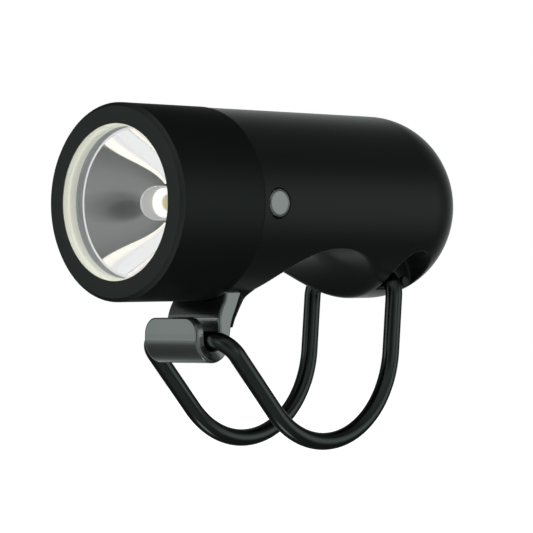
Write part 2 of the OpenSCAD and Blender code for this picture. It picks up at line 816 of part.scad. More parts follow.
module port_cover_anchor() {
    color("#232625") placed() union() {
        skin(tab_y, tab_y + tab_l);
        rod_x(cover_peg_r, -pocket_x - fit, -inner_r, peg_y, 0);
    }
}

module button_cap() {
    dish_r = cap_r - cap_rim;
    color("#b5b8b9") placed() translate([0, button_y, -button_drop]) rotate([0, 90, 0])
        rotate_extrude() polygon([
            [0, plunger_x], [plunger_r, plunger_x], [plunger_r, flange_in_x],
            [flange_r, flange_in_x], [flange_r, flange_out_x], [cap_r, flange_out_x],
            [cap_r, cap_face_x - cap_rim / 2], [cap_r - cap_rim / 2, cap_face_x],
            [dish_r, cap_face_x - dish_depth], [0, cap_face_x - dish_depth]]);
}

module button_seal() {
    color("#2f2f2f") placed() translate([button_seal_x, button_y, -button_drop]) rotate([0, 90, 0])
        rotate_extrude() translate([cap_r + button_seal_r + fit / 2, 0])
            circle(r = button_seal_r, $fn = 24);
}

module tact_switch() {
    color("#2a2b2d") placed() difference() {
        block([switch_x - switch_l, button_y - switch_h / 2, -button_drop - switch_w / 2],
            [switch_x, board_y, switch_w / 2 - button_drop]);
        rod_x(stem_r + fit, switch_x - stem_l, switch_x + over, button_y, -button_drop);
    }
}

module switch_stem() {
    tip = plunger_x - fit;
    color("#d9d4c4") placed() rod_x(stem_r, tip - stem_l, tip, button_y, -button_drop);
}

head_shell();
front_lens();
light_ring();
lens_seal();
reflector();
led_board();
led_package();
led_phosphor();
led_dome();
led_screws();
heat_sink();
led_wires();
head_gasket();
rear_casing();
hook();
hook_screws();
strap();
strap_pin();
battery_cell();
battery_tabs();
battery_pad();
chassis();
main_board();
board_parts();
board_screws();
usb_shell();
usb_tongue();
port_cover();
port_cover_anchor();
button_cap();
button_seal();
tact_switch();
switch_stem();
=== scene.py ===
import json
import math

import bmesh
import bpy
import numpy as np
from mathutils import Matrix

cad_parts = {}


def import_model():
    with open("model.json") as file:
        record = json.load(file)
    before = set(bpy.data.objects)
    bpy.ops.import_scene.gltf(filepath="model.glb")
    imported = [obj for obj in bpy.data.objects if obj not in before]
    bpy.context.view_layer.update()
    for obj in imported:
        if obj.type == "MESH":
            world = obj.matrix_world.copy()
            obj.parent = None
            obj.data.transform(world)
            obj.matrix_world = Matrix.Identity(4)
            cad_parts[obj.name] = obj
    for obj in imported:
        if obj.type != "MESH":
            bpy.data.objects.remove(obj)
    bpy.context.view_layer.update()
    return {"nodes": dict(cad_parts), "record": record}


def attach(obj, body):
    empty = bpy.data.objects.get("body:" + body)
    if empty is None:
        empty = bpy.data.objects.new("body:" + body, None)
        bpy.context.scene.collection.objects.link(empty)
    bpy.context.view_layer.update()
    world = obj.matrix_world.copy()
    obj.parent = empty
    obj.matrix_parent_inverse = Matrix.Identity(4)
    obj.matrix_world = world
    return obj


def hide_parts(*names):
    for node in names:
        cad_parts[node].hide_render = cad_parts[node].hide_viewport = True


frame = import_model()

# Driving sizes, in millimetres. Distances run back from the front face, heights up from the
# light's axis, as in the part's own source.
MM = 0.001
BAR_BACK, BAR_DROP = 38.4, 25.5
HEAD_R, HEAD_L, BORE_R, OPENING_R = 16.0, 18.2, 14.2, 12.6
FRONT_CHAMFER, LIP_EDGE, LIP_RISE = 0.6, 0.2, 1.0
SOCKET_R, STEP_Y = 14.95, 14.2
RING_DEPTH, LEDGE_R, WINDOW_IN, WINDOW_T = 2.7, 12.2, 0.1, 1.2
RIM_L, BOWL_DEPTH, MOUTH_R, NECK_R, REFLECTOR_T = 1.4, 8.1, 11.8, 3.3, 0.8
SKIRT_END, BOWL_Y = 12.6, RING_DEPTH + RIM_L
LED_Y, DOME_R, DOME_H = 12.9, 2.8, 6.2
CASING_R, CASING_L, DOME_L, CASING_WALL = 15.9, 40.9, 14.8, 1.8
SPIGOT_Y, SPIGOT_MID_R, SPIGOT_WALL, SEAM_GAP = 14.8, 14.4, 1.0, 0.04
SEAT_R = 17.85
HOOK_HALF, HOOK_Y, HOOK_DROP, CHANNEL_R = 6.3, 15.5, 22.3, 1.7
LIP_T, STEM_T, LIP_H, LIP_CORNER, STEM_TOP_DROP = 1.8, 2.4, 3.8, 2.8, 14.3
FRONT_LEAN, BACK_LEAN, WEB_T = 2.2, 3.0, 1.6
CORD_R, STRAND_X, BEND_R, LOOP_R, LOOP_DROP = 1.45, 9.7, 3.4, 16.4, 23.3
PIVOT_Y, PIVOT_DROP = 56.0, 12.0
SCOOP_R, SCOOP_Y, SCOOP_DROP, RIB_X = 4.5, 58.65, 12.45, 6.8
CAP_R, BUTTON_Y, BUTTON_DROP, CAP_FACE_X, CAP_RIM = 2.3, 21.7, 0.26, 16.0, 0.4
POCKET_Y, POCKET_HALF_Z, POCKET_CORNER, POCKET_X = (18.77, 26.97), 4.95, 1.65, -15.0
SOCKET_SLOT_Y, SLOT_R, SLOT_REACH, PEG_Y, PEG_R = 21.37, 1.68, 2.84, 25.62, 0.95
PLUNGER_R, PLUNGER_X, FLANGE_R, FLANGE_X = 0.8, 12.7, 2.8, (13.0, 13.6)
CAP_BEVEL, DISH_DROPS = 0.2, (0.12, 0.15, 0.16)
FIT, RUN = 0.05, 0.3

# Edges and blends, in millimetres
FINE_EDGE, WINDOW_EDGE, RING_EDGE, CAP_EDGE = 0.12, 0.15, 0.06, 0.07
GROOVE_HALF, GROOVE_IN = 0.12, 0.15
SCOOP_EDGE, SCOOP_BLEND, CHANNEL_BLEND = 0.5, 0.25, 0.3
SEAT_BLEND_Y, SEAT_BLEND = (40, 50), (0.3, 1.0)
WEB_EDGE, WEB_BLEND, WEB_MARGIN, WEB_UNDER = 0.25, 1.2, 1.5, 0.02
HOOK_EDGE, HOOK_LIP_EDGE, HOOK_BLEND = 0.5, 0.45, 0.15
HOOK_BELOW, STEM_TUCK, LIP_TUCK, DISC_RISE = 1.5, 0.4, 0.35, 1.0
SLOT_OVER, LIP_UNDER, HOOK_PAD_T = 2, 6, 1.5
BODY_LEAD, ROOM_LEAD = 1, 2
FAR, TINY, MERGE = 99, 1e-9, 1e-7

TURN_COARSE, TURN_CAP, TURN, TURN_FINE = 96, 128, 192, 256
SHARP, SHARP_CAP, SHARP_TUBE = 35, 50, 80
DOME_POINTS, BOWL_POINTS = 24, 40
CROSS_RUN_STEP, STRAND_STEP, STRAND_SPARE, BEND_POINTS, LOOP_POINTS = 0.6, 0.7, 0.3, 14, 60
CASING_STEPS, HOOK_STEPS = (0.6, 0.32), (0.3, 0.16)
CASING_NET_HALF, NET_MARGIN = 16.6, 1
WEB_NET = (-8.4, HEAD_L - 0.5, -21.9), (8.4, 27.5, -13)
HOOK_NET = (-7.1, 11.2, -26.9), (7.1, 23.6, -13.4)

CASING_FRONT, CASING_END = HEAD_L + SEAM_GAP, HEAD_L + CASING_L
OFFSET = np.array([0.0, -BAR_BACK, BAR_DROP])


# Mesh tools

def finish_mesh(name, verts, faces, sharp_deg=SHARP, normals=None):
    """Makes an object from points in millimetres of the light's frame, smooth up to an angle
    or with the normals given."""
    data = bpy.data.meshes.new(name)
    data.from_pydata(((np.asarray(verts) + OFFSET) * MM).tolist(), [], [list(f) for f in faces])
    work = bmesh.new()
    work.from_mesh(data)
    if normals is None:
        bmesh.ops.remove_doubles(work, verts=work.verts, dist=MERGE)
        bmesh.ops.recalc_face_normals(work, faces=work.faces)
    work.to_mesh(data)
    work.free()
    data.shade_smooth()
    if normals is None:
        data.set_sharp_from_angle(angle=math.radians(sharp_deg))
    else:
        data.normals_split_custom_set_from_vertices(normals.tolist())
    piece = bpy.data.objects.new(name, data)
    bpy.context.scene.collection.objects.link(piece)
    return piece


def rounded(points, radius, steps=5):
    """A closed outline with its corners rounded, but not on the axis or where it runs on
    almost straight."""
    straight, most, least_tangent = math.radians(88), 0.45, 1e-6
    points = [np.array(p, float) for p in points]
    out = []
    for i, p in enumerate(points):
        a, b = points[i - 1] - p, points[(i + 1) % len(points)] - p
        la, lb = np.linalg.norm(a), np.linalg.norm(b)
        a, b = a / la, b / lb
        half = math.acos(float(np.clip(a @ b, -1, 1))) / 2
        reach = min(radius / max(math.tan(half), least_tangent), la * most, lb * most)
        if half > straight or p[0] == 0:
            out.append(p)
            continue
        start, end = p + a * reach, p + b * reach
        for k in range(steps + 1):
            t = k / steps
            out.append((1 - t) ** 2 * start + 2 * t * (1 - t) * p + t * t * end)
    return out


def lathe(name, outline, segments=TURN, axis="y", centre=(0, 0), sharp_deg=SHARP):
    """Turns a closed outline of (radius, distance) points round the light's long axis, or
    round a line along x through a centre."""
    n = len(outline)
    angles = np.linspace(0, 2 * math.pi, segments, endpoint=False)
    verts = []
    for r, d in outline:
        u, v = r * np.cos(angles) + centre[0], r * np.sin(angles) + centre[1]
        along = np.full(segments, d)
        verts.append(np.stack([u, along, v] if axis == "y" else [along, u, v], 1))
    verts = np.concatenate(verts)
    faces = []
    for i in range(n):
        j = (i + 1) % n
        if outline[i][0] == 0 and outline[j][0] == 0:
            continue
        for k in range(segments):
            m = (k + 1) % segments
            quad = [i * segments + k, j * segments + k, j * segments + m, i * segments + m]
            if outline[i][0] == 0:
                quad = [quad[0], quad[1], quad[2]]
            elif outline[j][0] == 0:
                quad = [quad[0], quad[1], quad[3]]
            faces.append(quad)
    return finish_mesh(name, verts, faces, sharp_deg)


def tube(name, path, radius, sides=28):
    """A round tube along a closed path, with its rings turned so that the last meets the
    first."""
    path = np.asarray(path)
    n = len(path)
    tangent = np.roll(path, -1, 0) - np.roll(path, 1, 0)
    tangent /= np.linalg.norm(tangent, axis=1)[:, None]
    normal = np.zeros_like(path)
    normal[0] = np.cross(tangent[0], [0.0, 0.0, 1.0])
    normal[0] /= np.linalg.norm(normal[0])
    for i in range(1, n):
        carried = normal[i - 1] - tangent[i] * (normal[i - 1] @ tangent[i])
        normal[i] = carried / np.linalg.norm(carried)
    last = normal[-1] - tangent[0] * (normal[-1] @ tangent[0])
    side = np.cross(tangent[0], normal[0])
    twist = math.atan2(last @ side, last @ normal[0])
    verts = []
    for i in range(n):
        turn = np.linspace(0, 2 * math.pi, sides, endpoint=False) - twist * i / n
        binormal = np.cross(tangent[i], normal[i])
        verts.append(path[i] + radius * (np.cos(turn)[:, None] * normal[i]
                                         + np.sin(turn)[:, None] * binormal))
    faces = [[i * sides + k, i * sides + (k + 1) % sides,
              (i + 1) % n * sides + (k + 1) % sides, (i + 1) % n * sides + k]
             for i in range(n) for k in range(sides)]
    return finish_mesh(name, np.concatenate(verts), faces, SHARP_TUBE)


def pull_onto(distance, points, rounds=4):
    """Moves points onto the zero level of a distance function, and gives the normals there."""
    gap, least_steep, most = 0.01, 0.04, 0.3
    slope = np.zeros_like(points)
    for i in range(rounds + 1):
        for a in range(3):
            shift = np.zeros(3)
            shift[a] = gap
            slope[:, a] = (distance(points + shift) - distance(points - shift)) / (2 * gap)
        steep = np.maximum((slope ** 2).sum(1), least_steep)
        if i < rounds:
            points = points - slope * np.clip(distance(points) / steep, -most, most)[:, None]
    return points, slope / np.sqrt((slope ** 2).sum(1))[:, None]


def net_part(distance, low, high, step):
    """Corners, faces and normals of the zero level of a distance function in millimetres.
    Each cell of the grid that the level passes through gets one corner, and each edge of the
    grid that it crosses gets one face between the four cells round it."""
    lines = [np.arange(l, h + step, step) for l, h in zip(low, high)]
    grid = np.stack(np.meshgrid(*lines, indexing="ij"), -1)
    value = distance(grid.reshape(-1, 3)).reshape(grid.shape[:3])
    cells = np.array(value.shape) - 1
    total, count = np.zeros((*cells, 3)), np.zeros(cells)
    crossings = []
    for axis in range(3):
        others = [a for a in range(3) if a != axis]
        first, second = [slice(None)] * 3, [slice(None)] * 3
        first[axis], second[axis] = slice(None, -1), slice(1, None)
        a, b = value[tuple(first)], value[tuple(second)]
        crosses = (a < 0) != (b < 0)
        share = np.where(crosses, a / np.where(crosses, a - b, 1), 0)
        points = grid[tuple(first)].copy()
        points[..., axis] += share * step
        points[~crosses] = 0
        for du in (0, 1):
            for dv in (0, 1):
                part = [slice(None)] * 3
                part[others[0]] = slice(du, du + cells[others[0]])
                part[others[1]] = slice(dv, dv + cells[others[1]])
                total += points[tuple(part)]
                count += crosses[tuple(part)]
        crossings.append((others, np.argwhere(crosses)))
    used = count > 0
    index = np.full(cells, -1)
    index[used] = np.arange(used.sum())
    verts = total[used] / count[used][:, None]
    verts, normals = pull_onto(distance, verts)
    faces = []
    for others, edges in crossings:
        inner = np.ones(len(edges), bool)
        for a in others:
            inner &= (edges[:, a] >= 1) & (edges[:, a] < cells[a])
        edges = edges[inner]
        corners = []
        for du, dv in ((1, 1), (0, 1), (0, 0), (1, 0)):
            cell = edges.copy()
            cell[:, others[0]] -= du
            cell[:, others[1]] -= dv
            corners.append(index[tuple(cell.T)])
        faces.append(np.stack(corners, 1))
    faces = np.concatenate(faces)
    p = verts[faces]
    facing = np.cross(p[:, 2] - p[:, 0], p[:, 3] - p[:, 1])
    flipped = (facing * normals[faces[:, 0]]).sum(1) < 0
    faces[flipped] = faces[flipped][:, ::-1]
    return verts, faces, normals


def surface_net(name, *parts):
    """One object of one or more nets, each a distance function, two corners and a step."""
    verts, faces, normals = zip(*(net_part(*part) for part in parts))
    starts = np.cumsum([0] + [len(v) for v in verts[:-1]])
    faces = np.concatenate([f + start for f, start in zip(faces, starts)])
    return finish_mesh(name, np.concatenate(verts), faces.tolist(),
                       normals=np.concatenate(normals))


# Distance functions, in millimetres

def smooth_min(a, b, k):
    """The lower of two distances, blended over a width k."""
    h = np.clip(0.5 + 0.5 * (b - a) / k, 0, 1)
    return b + (a - b) * h - k * h * (1 - h)


def smooth_max(a, b, k):
    """The higher of two distances, blended over a width k."""
    return -smooth_min(-a, -b, k)


def polygon_distance(u, v, points):
    """Signed distance to a closed polygon, negative inside."""
    points = np.asarray(points, float)
    best = np.full(u.shape, np.inf)
    sign = np.ones(u.shape)
    for (ax, ay), (bx, by) in zip(points, np.roll(points, -1, 0)):
        ex, ey = bx - ax, by - ay
        wx, wy = u - ax, v - ay
        t = np.clip((wx * ex + wy * ey) / (ex * ex + ey * ey), 0, 1)
        best = np.minimum(best, (wx - ex * t) ** 2 + (wy - ey * t) ** 2)
        above, below = v >= ay, v < by
        left = ex * wy > ey * wx
        sign = np.where((above & below & left) | (~above & ~below & ~left), -sign, sign)
    return sign * np.sqrt(best)


def box_distance(u, v, low, high):
    """Signed distance to a rectangle between two corners."""
    qu = np.abs(u - (low[0] + high[0]) / 2) - (high[0] - low[0]) / 2
    qv = np.abs(v - (low[1] + high[1]) / 2) - (high[1] - low[1]) / 2
    return np.hypot(np.maximum(qu, 0), np.maximum(qv, 0)) + np.minimum(np.maximum(qu, qv), 0)


def meet_rounded(a, b, r):
    """Where two solids meet, with their common edge rounded to a radius."""
    return np.hypot(np.maximum(a + r, 0), np.maximum(b + r, 0)) \
        + np.minimum(np.maximum(a, b) + r, 0) - r


# Pairs of a share of the stem's height, from the channel's centre (0) to its top (1), and a
# share of its front's lean, of its back's lean or of the web's thickness there
FRONT_SHARES = [(0, 0), (0.2, 0), (0.42, -0.05), (0.64, 0.2), (0.84, 0.6), (1, 0.7)]
BACK_SHARES = [(1, 1), (0.84, 0.79), (0.66, 0.57), (0.36, 0.2), (0, 0)]
WEB_SHARES = [(0.2, 0.14), (0.4, 0.28), (0.6, 0.42), (0.8, 0.62), (1, 1)]
STEM_FRONT = HOOK_Y + CHANNEL_R
STEM_BACK = STEM_FRONT + STEM_T
STEM_H = HOOK_DROP - STEM_TOP_DROP


def stem_side(shares, start, lean, steps=24):
    """Depth and height along one face of the stem, on a smooth curve through its shares."""
    h, s = (np.array(c) for c in zip(*sorted(shares)))
    slope = np.gradient(s, h)
    fine = np.linspace(h[0], h[-1], steps)
    i = np.clip(np.searchsorted(h, fine) - 1, 0, len(h) - 2)
    gap = h[i + 1] - h[i]
    t = (fine - h[i]) / gap
    curve = (s[i] * (1 + 2 * t) * (1 - t) ** 2 + s[i + 1] * t * t * (3 - 2 * t)
             + gap * t * (1 - t) * (slope[i] * (1 - t) - slope[i + 1] * t))
    points = [(start + c * lean, f * STEM_H - HOOK_DROP) for c, f in zip(curve, fine)]
    return points if shares[0][0] < shares[-1][0] else points[::-1]


def round_body(p, r, length, front):
    """Distance to the casing's round body: a rod along the light with a domed rear end."""
    radial = np.hypot(p[:, 0], p[:, 2])
    past = np.maximum(p[:, 1] - CASING_END, 0)
    k0 = np.hypot(radial / r, past / length)
    k1 = np.hypot(radial / r ** 2, past / length ** 2)
    domed = k0 * (k0 - 1) / np.maximum(k1, TINY)
    straight = np.where(p[:, 1] < CASING_END, radial - r, domed)
    return np.maximum(straight, front - p[:, 1])


def seat_distance(p):
    """Distance to the round handlebar's seat."""
    return np.hypot(p[:, 1] - BAR_BACK, p[:, 2] + BAR_DROP) - SEAT_R


def scoop_distance(p):
    """Distance to the space of both strap scoops."""
    u, v = p[:, 1] - SCOOP_Y, p[:, 2] + SCOOP_DROP
    slot = np.where(v > 0, np.hypot(u, v), np.abs(u)) - SCOOP_R
    return meet_rounded(slot, RIB_X - np.abs(p[:, 0]), SCOOP_EDGE)


def room_distance(p):
    """Distance to the hollow of the casing, with the walls over the seat, scoops and hook."""
    x, y, z = p.T
    room = round_body(p, CASING_R - CASING_WALL, DOME_L - CASING_WALL, HEAD_L - ROOM_LEAD)
    over_seat = seat_distance(p) - CASING_WALL
    over_scoops = np.maximum(SCOOP_Y - SCOOP_R - CASING_WALL - y,
                             z - SCOOP_R + SCOOP_DROP - CASING_WALL)
    over_hook = np.maximum(np.abs(x) - HOOK_HALF - CASING_WALL, np.maximum(
        y - STEM_BACK - BACK_LEAN - CASING_WALL / 2, z - HOOK_PAD_T + STEM_TOP_DROP))
    over_hook = np.maximum(over_hook, HEAD_L - y)
    return np.maximum(room, -np.minimum(np.minimum(over_seat, over_scoops), over_hook))


def port_distance(p):
    """Distance to the port's pocket, the slot of its socket and the hole of its cover's peg."""
    x, y, z = p.T
    low = (POCKET_Y[0] + POCKET_CORNER, POCKET_CORNER - POCKET_HALF_Z)
    high = (POCKET_Y[1] - POCKET_CORNER, POCKET_HALF_Z - POCKET_CORNER)
    pocket = np.maximum(box_distance(y, z, low, high) - POCKET_CORNER, x - POCKET_X)
    slot = np.hypot(y - SOCKET_SLOT_Y, np.maximum(np.abs(z) - SLOT_REACH, 0)) - SLOT_R
    peg = np.hypot(y - PEG_Y, z) - PEG_R
    return np.minimum(pocket, np.maximum(np.minimum(slot, peg), x - POCKET_X - CASING_WALL))


def body_distance(p):
    """Distance to the casing's outer form behind the seam, with its front edge rounded."""
    body = round_body(p, CASING_R, DOME_L, HEAD_L - BODY_LEAD)
    return meet_rounded(body, CASING_FRONT - p[:, 1], FINE_EDGE)


def web_distance(p):
    """Distance to the web behind the hook's stem, with a fillet where it leaves the casing."""
    heights, leans = zip(*BACK_SHARES[::-1])
    web = stem_side(BACK_SHARES[:-1], STEM_BACK, BACK_LEAN)
    for height, thickness in WEB_SHARES:
        back = STEM_BACK + np.interp(height, heights, leans) * BACK_LEAN
        web.append((back + thickness * WEB_T, height * STEM_H - HOOK_DROP))
    web = meet_rounded(polygon_distance(p[:, 1], p[:, 2], web),
                       np.abs(p[:, 0]) - HOOK_HALF, WEB_EDGE)
    near = np.maximum(np.abs(p[:, 0]) - HOOK_HALF - WEB_MARGIN, np.maximum(
        p[:, 2] + CASING_R - CASING_WALL, HEAD_L + 2 * SEAM_GAP - p[:, 1]))
    joined = smooth_min(body_distance(p), web, WEB_BLEND) + WEB_UNDER
    return np.maximum(np.maximum(joined, near), FIT - seat_distance(p))


def casing_distance(p):
    """Distance to the hollow casing with its seat, scoops, spigot, port and button hole."""
    blend = np.interp(p[:, 1], SEAT_BLEND_Y, SEAT_BLEND)
    solid = smooth_max(body_distance(p), -seat_distance(p), blend)
    solid = smooth_max(solid, -scoop_distance(p), SCOOP_BLEND)
    middle, half = (SPIGOT_Y + CASING_FRONT) / 2, (CASING_FRONT - SPIGOT_Y) / 2
    spigot = np.maximum(np.abs(np.hypot(p[:, 0], p[:, 2]) - SPIGOT_MID_R) - SPIGOT_WALL / 2,
                        np.abs(p[:, 1] - middle) - half - FIT)
    solid = np.minimum(np.maximum(solid, -room_distance(p)), spigot)
    solid = np.maximum(solid, -port_distance(p))
    channel = np.hypot(p[:, 1] - PIVOT_Y, p[:, 2] + PIVOT_DROP) - CORD_R - RUN
    solid = smooth_max(solid, -channel, CHANNEL_BLEND)
    button = np.hypot(p[:, 1] - BUTTON_Y, p[:, 2] + BUTTON_DROP) - CAP_R - 2 * FIT
    button = np.maximum(button, CASING_R - 2 * CASING_WALL - p[:, 0])
    return smooth_max(solid, -button, FINE_EDGE)


def hook_distance(p):
    """Distance to the hook: a disc with the strap's channel, a stem behind it and a lip."""
    x, y, z = p.T
    disc = np.hypot(y - HOOK_Y - (STEM_T - LIP_T) / 2, z + HOOK_DROP) \
        - CHANNEL_R - (LIP_T + STEM_T) / 2
    stem = [(STEM_FRONT, -HOOK_DROP - HOOK_BELOW)] \
        + stem_side(FRONT_SHARES, STEM_FRONT, FRONT_LEAN) \
        + stem_side(BACK_SHARES, STEM_BACK, BACK_LEAN) \
        + [(STEM_BACK - STEM_TUCK, -HOOK_DROP - HOOK_BELOW)]
    lip_front = HOOK_Y - CHANNEL_R - LIP_T
    lip_top = LIP_H - HOOK_DROP
    channel = np.minimum(np.hypot(y - HOOK_Y, z + HOOK_DROP) - CHANNEL_R, box_distance(
        y, z, (HOOK_Y - CHANNEL_R, -HOOK_DROP), (STEM_FRONT, SLOT_OVER - HOOK_DROP + LIP_H)))
    disc = np.maximum(disc, z + HOOK_DROP - np.where(y > HOOK_Y, FAR, DISC_RISE))
    bend = smooth_min(np.maximum(disc, -channel), polygon_distance(y, z, stem), HOOK_BLEND)
    bend = meet_rounded(bend, np.abs(x) - HOOK_HALF, HOOK_EDGE)
    lip = [(lip_front, lip_top), (lip_front, -HOOK_DROP),
           (lip_front + LIP_TUCK, -HOOK_DROP - HOOK_BELOW),
           (lip_front + LIP_T, -HOOK_DROP - HOOK_BELOW), (lip_front + LIP_T, lip_top)]
    plate = box_distance(x, z, (LIP_CORNER - HOOK_HALF, -HOOK_DROP - LIP_UNDER),
                         (HOOK_HALF - LIP_CORNER, lip_top - LIP_CORNER)) - LIP_CORNER
    lip = meet_rounded(polygon_distance(y, z, lip), plate, HOOK_LIP_EDGE)
    return smooth_min(bend, lip, HOOK_BLEND)


# Pieces

def head_shell():
    """The front shell, turned, with its chamfer and the lip before the ring."""
    outline = [(OPENING_R, 0), (HEAD_R - FRONT_CHAMFER, 0), (HEAD_R, FRONT_CHAMFER),
               (HEAD_R, HEAD_L), (SOCKET_R, HEAD_L), (SOCKET_R, STEP_Y), (BORE_R, STEP_Y),
               (BORE_R, LIP_EDGE + LIP_RISE), (OPENING_R, LIP_EDGE)]
    piece = lathe("head", rounded(outline, FINE_EDGE), TURN_FINE)
    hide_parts("head_shell")
    return piece


def front_lens():
    """The clear window, just short of the ring's ledge."""
    r, back = OPENING_R - FIT, WINDOW_IN + WINDOW_T - FIT / 2
    outline = [(0, WINDOW_IN), (r - WINDOW_EDGE, WINDOW_IN), (r, WINDOW_IN + WINDOW_EDGE),
               (r, back), (0, back)]
    piece = lathe("window", outline)
    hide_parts("front_lens")
    return piece


def light_ring():
    """The ivory ring round the window's edge."""
    r = BORE_R - FIT
    ledge = WINDOW_IN + WINDOW_T
    outline = [(OPENING_R, LIP_EDGE + FIT), (r, LIP_EDGE + LIP_RISE + FIT), (r, RING_DEPTH),
               (LEDGE_R, RING_DEPTH), (LEDGE_R, ledge), (OPENING_R, ledge)]
    piece = lathe("ivory_ring", rounded(outline, RING_EDGE, steps=3))
    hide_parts("light_ring")
    return piece


def bowl_y(r):
    """Depth of the mirror bowl at a radius."""
    neck = BOWL_Y + BOWL_DEPTH
    return neck - BOWL_DEPTH * (r * r - NECK_R ** 2) / (MOUTH_R ** 2 - NECK_R ** 2)


def reflector():
    """The mirror bowl with its rim, its groove and its skirt."""
    r = BORE_R - FIT
    radii = np.linspace(NECK_R, MOUTH_R, BOWL_POINTS)
    inner = [(a, bowl_y(a)) for a in radii]
    outer = [(a + REFLECTOR_T, bowl_y(a) + REFLECTOR_T / 2) for a in radii[::-1]]
    groove = RING_DEPTH + RIM_L / 2
    rim = [(LEDGE_R, BOWL_Y), (LEDGE_R, groove + GROOVE_HALF), (LEDGE_R + GROOVE_IN, groove),
           (LEDGE_R, groove - GROOVE_HALF), (LEDGE_R, RING_DEPTH), (r, RING_DEPTH),
           (r, SKIRT_END), (r - REFLECTOR_T, SKIRT_END),
           (r - REFLECTOR_T, BOWL_Y + REFLECTOR_T / 2)]
    piece = lathe("bowl", inner + rim + outer, TURN_FINE)
    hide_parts("reflector")
    return piece


def led_dome():
    """The clear dome over the LED: a rod with a round end."""
    centre = LED_Y - DOME_H + DOME_R
    arc = [(DOME_R * math.sin(a), centre - DOME_R * math.cos(a))
           for a in np.linspace(0, math.pi / 2, DOME_POINTS)]
    outline = [(0, LED_Y), (0, arc[0][1])] + arc[1:] + [(DOME_R, LED_Y)]
    piece = lathe("dome", outline, TURN_COARSE)
    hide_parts("led_dome")
    return piece


def button_cap():
    """The push button with its dished face, flange and plunger."""
    dish = CAP_R - CAP_RIM
    outline = [(0, PLUNGER_X), (PLUNGER_R, PLUNGER_X), (PLUNGER_R, FLANGE_X[0]),
               (FLANGE_R, FLANGE_X[0]), (FLANGE_R, FLANGE_X[1]), (CAP_R, FLANGE_X[1]),
               (CAP_R, CAP_FACE_X - CAP_BEVEL), (CAP_R - CAP_BEVEL, CAP_FACE_X),
               *((share * dish, CAP_FACE_X - drop)
                 for share, drop in zip((1, 0.5, 0), DISH_DROPS))]
    piece = lathe("cap", rounded(outline, CAP_EDGE, steps=4), TURN_CAP, "x",
                  (BUTTON_Y, -BUTTON_DROP), SHARP_CAP)
    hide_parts("button_cap")
    return piece


def strap_path():
    """Centre line of the strap, once round its loop."""
    def tangent_run(y, z, turn_sign):
        """Angle and length of a straight strand from a run to the round bottom."""
        reach = np.array([BAR_BACK - y, -LOOP_DROP - z])
        size = np.linalg.norm(reach)
        angle = math.atan2(reach[1], reach[0]) + turn_sign * math.asin(LOOP_R / size)
        return angle, math.sqrt(size ** 2 - LOOP_R ** 2)

    def end_points(y, z, angle, length):
        """Half of a cross run, its bend and its strand."""
        across = [(x, 0.0) for x in np.arange(0, STRAND_X - BEND_R, CROSS_RUN_STEP)]
        bend = [(STRAND_X - BEND_R + BEND_R * math.sin(a), BEND_R - BEND_R * math.cos(a))
                for a in np.linspace(0, math.pi / 2, BEND_POINTS)]
        strand = [(STRAND_X, s) for s in np.arange(
            BEND_R + STRAND_STEP, length - STRAND_SPARE, STRAND_STEP)]
        return [(x, y + s * math.cos(angle), z + s * math.sin(angle))
                for x, s in across + bend + strand]

    ends, angles = [], []
    for y, z, turn_sign in ((HOOK_Y, -HOOK_DROP, -1), (PIVOT_Y, -PIVOT_DROP, 1)):
        angle, length = tangent_run(y, z, turn_sign)
        ends.append(end_points(y, z, angle, length))
        across, up = (y + length * math.cos(angle) - BAR_BACK,
                      z + length * math.sin(angle) + LOOP_DROP)
        angles.append(math.atan2(across, -up))
    arc = [(STRAND_X, BAR_BACK + LOOP_R * math.sin(a), -LOOP_DROP - LOOP_R * math.cos(a))
           for a in np.linspace(*angles, LOOP_POINTS)]
    half = ends[0] + arc + ends[1][::-1]
    other = [(-x, y, z) for x, y, z in half[1:-1]][::-1]
    return half + other


def strap():
    """The rubber loop, hung in the hook and the scoops."""
    piece = tube("loop", strap_path(), CORD_R)
    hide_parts("strap")
    return piece


def rear_casing():
    """The casing in one net, and the web behind the hook in a finer one."""
    step = CASING_STEPS[1]
    piece = surface_net(
        "casing",
        (casing_distance, (-CASING_NET_HALF, SPIGOT_Y - NET_MARGIN, -CASING_NET_HALF),
         (CASING_NET_HALF, CASING_END + DOME_L + NET_MARGIN, CASING_NET_HALF), step),
        (web_distance, *WEB_NET, step / 2))
    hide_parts("rear_casing")
    return piece


def hook():
    """The bent metal hook."""
    step = HOOK_STEPS[1]
    piece = surface_net("strap_hook", (hook_distance, *HOOK_NET, step))
    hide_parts("hook")
    return piece


# Materials

BROAD_SCALE, FINE_DETAIL, BROAD_DETAIL, RELIEF = 90, 3, 4, 0.03
LEAST_ROUGHNESS = 0.01


def grey(level):
    """A grey of the same level in each channel."""
    return level, level, level


def feed(links, socket, value):
    """Gives a socket its value: another socket or a constant."""
    if hasattr(value, "is_linked"):
        links.new(value, socket)
    else:
        socket.default_value = value


def math_node(nodes, links, operation, first, second):
    """A node that joins two numbers, each a socket or a constant."""
    made = nodes.new("ShaderNodeMath")
    made.operation = operation
    for socket, value in zip(made.inputs, (first, second)):
        feed(links, socket, value)
    return made.outputs["Value"]


